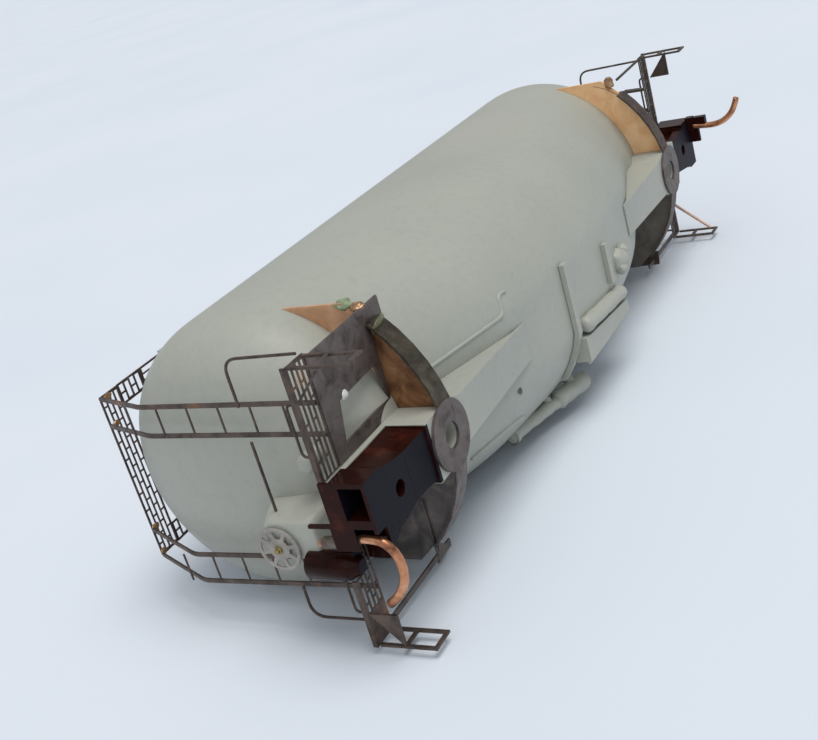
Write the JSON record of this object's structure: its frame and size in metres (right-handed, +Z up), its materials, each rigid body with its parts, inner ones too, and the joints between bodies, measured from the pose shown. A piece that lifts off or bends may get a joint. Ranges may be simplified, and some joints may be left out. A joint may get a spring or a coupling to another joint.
{
  "type": "covered hopper car model",
  "caption": "Unfinished scale-model covered hopper car body: domed tank, roof walks, end ladders, platforms, bolsters and brake wheel, lying on its side, no trucks.",
  "frame": {"origin": "centre of the bounding box at the floor it lies on", "axes": "+X along the car to the brake-wheel end, +Z up off the floor (the car's own left side), -Y towards the car's roof side"},
  "size_m": [0.133, 0.0542, 0.038],
  "materials": {
    "resin": "matte cast resin",
    "etched_brass": "darkened etched brass",
    "copper_web": "bright copper",
    "copper_wire": "bare copper wire",
    "brown_plastic": "glossy moulded plastic"
  },
  "bodies": {
    "root": {"belly_rib_far": "resin", "belly_rib_near": "resin", "bolster_flange_far_left": "etched_brass", "bolster_flange_far_right": "etched_brass", "bolster_flange_near_left": "etched_brass", "bolster_flange_near_right": "etched_brass", "bolster_web_far_left": "copper_web", "bolster_web_far_right": "copper_web", "bolster_web_near_left": "copper_web", "bolster_web_near_right": "copper_web", "brake_cylinder": "brown_plastic", "brake_housing": "resin", "brake_wheel": "etched_brass", "centre_plate_far": "etched_brass", "centre_plate_near": "etched_brass", "coupler_box_far": "brown_plastic", "coupler_box_near": "brown_plastic", "deck_far_left": "etched_brass", "deck_far_right": "etched_brass", "deck_near_left": "etched_brass", "deck_near_right": "etched_brass", "discharge_pipe": "resin", "drain_pipe": "resin", "drain_tray": "resin", "gusset_far_left": "etched_brass", "gusset_near_left": "etched_brass", "gusset_near_right": "etched_brass", "handrail_far": "etched_brass", "handrail_near": "etched_brass", "hose_sleeve_near": "resin", "ladder_far_left": "etched_brass", "ladder_far_right": "etched_brass", "ladder_near_left": "etched_brass", "ladder_near_right": "etched_brass", "low_grab_far_left": "etched_brass", "low_grab_far_right": "etched_brass", "low_grab_near_left": "etched_brass", "low_grab_near_right": "etched_brass", "outlet_valve_far": "resin", "platform_far_left": "etched_brass", "platform_far_right": "etched_brass", "platform_near_left": "etched_brass", "platform_near_right": "etched_brass", "running_board_far": "etched_brass", "running_board_left": "etched_brass", "running_board_near": "etched_brass", "running_board_right": "etched_brass", "sill_step_far_left": "etched_brass", "sill_step_far_right": "etched_brass", "sill_step_near_left": "etched_brass", "sill_step_near_right": "etched_brass", "step_wire_far": "copper_wire", "stub_sill_far": "resin", "stub_sill_near": "resin", "tank_barrel": "resin", "tank_head_far": "resin", "tank_head_near": "resin", "train_hose_far": "copper_wire", "train_hose_near": "copper_wire"}
  },
  "joints": []
}
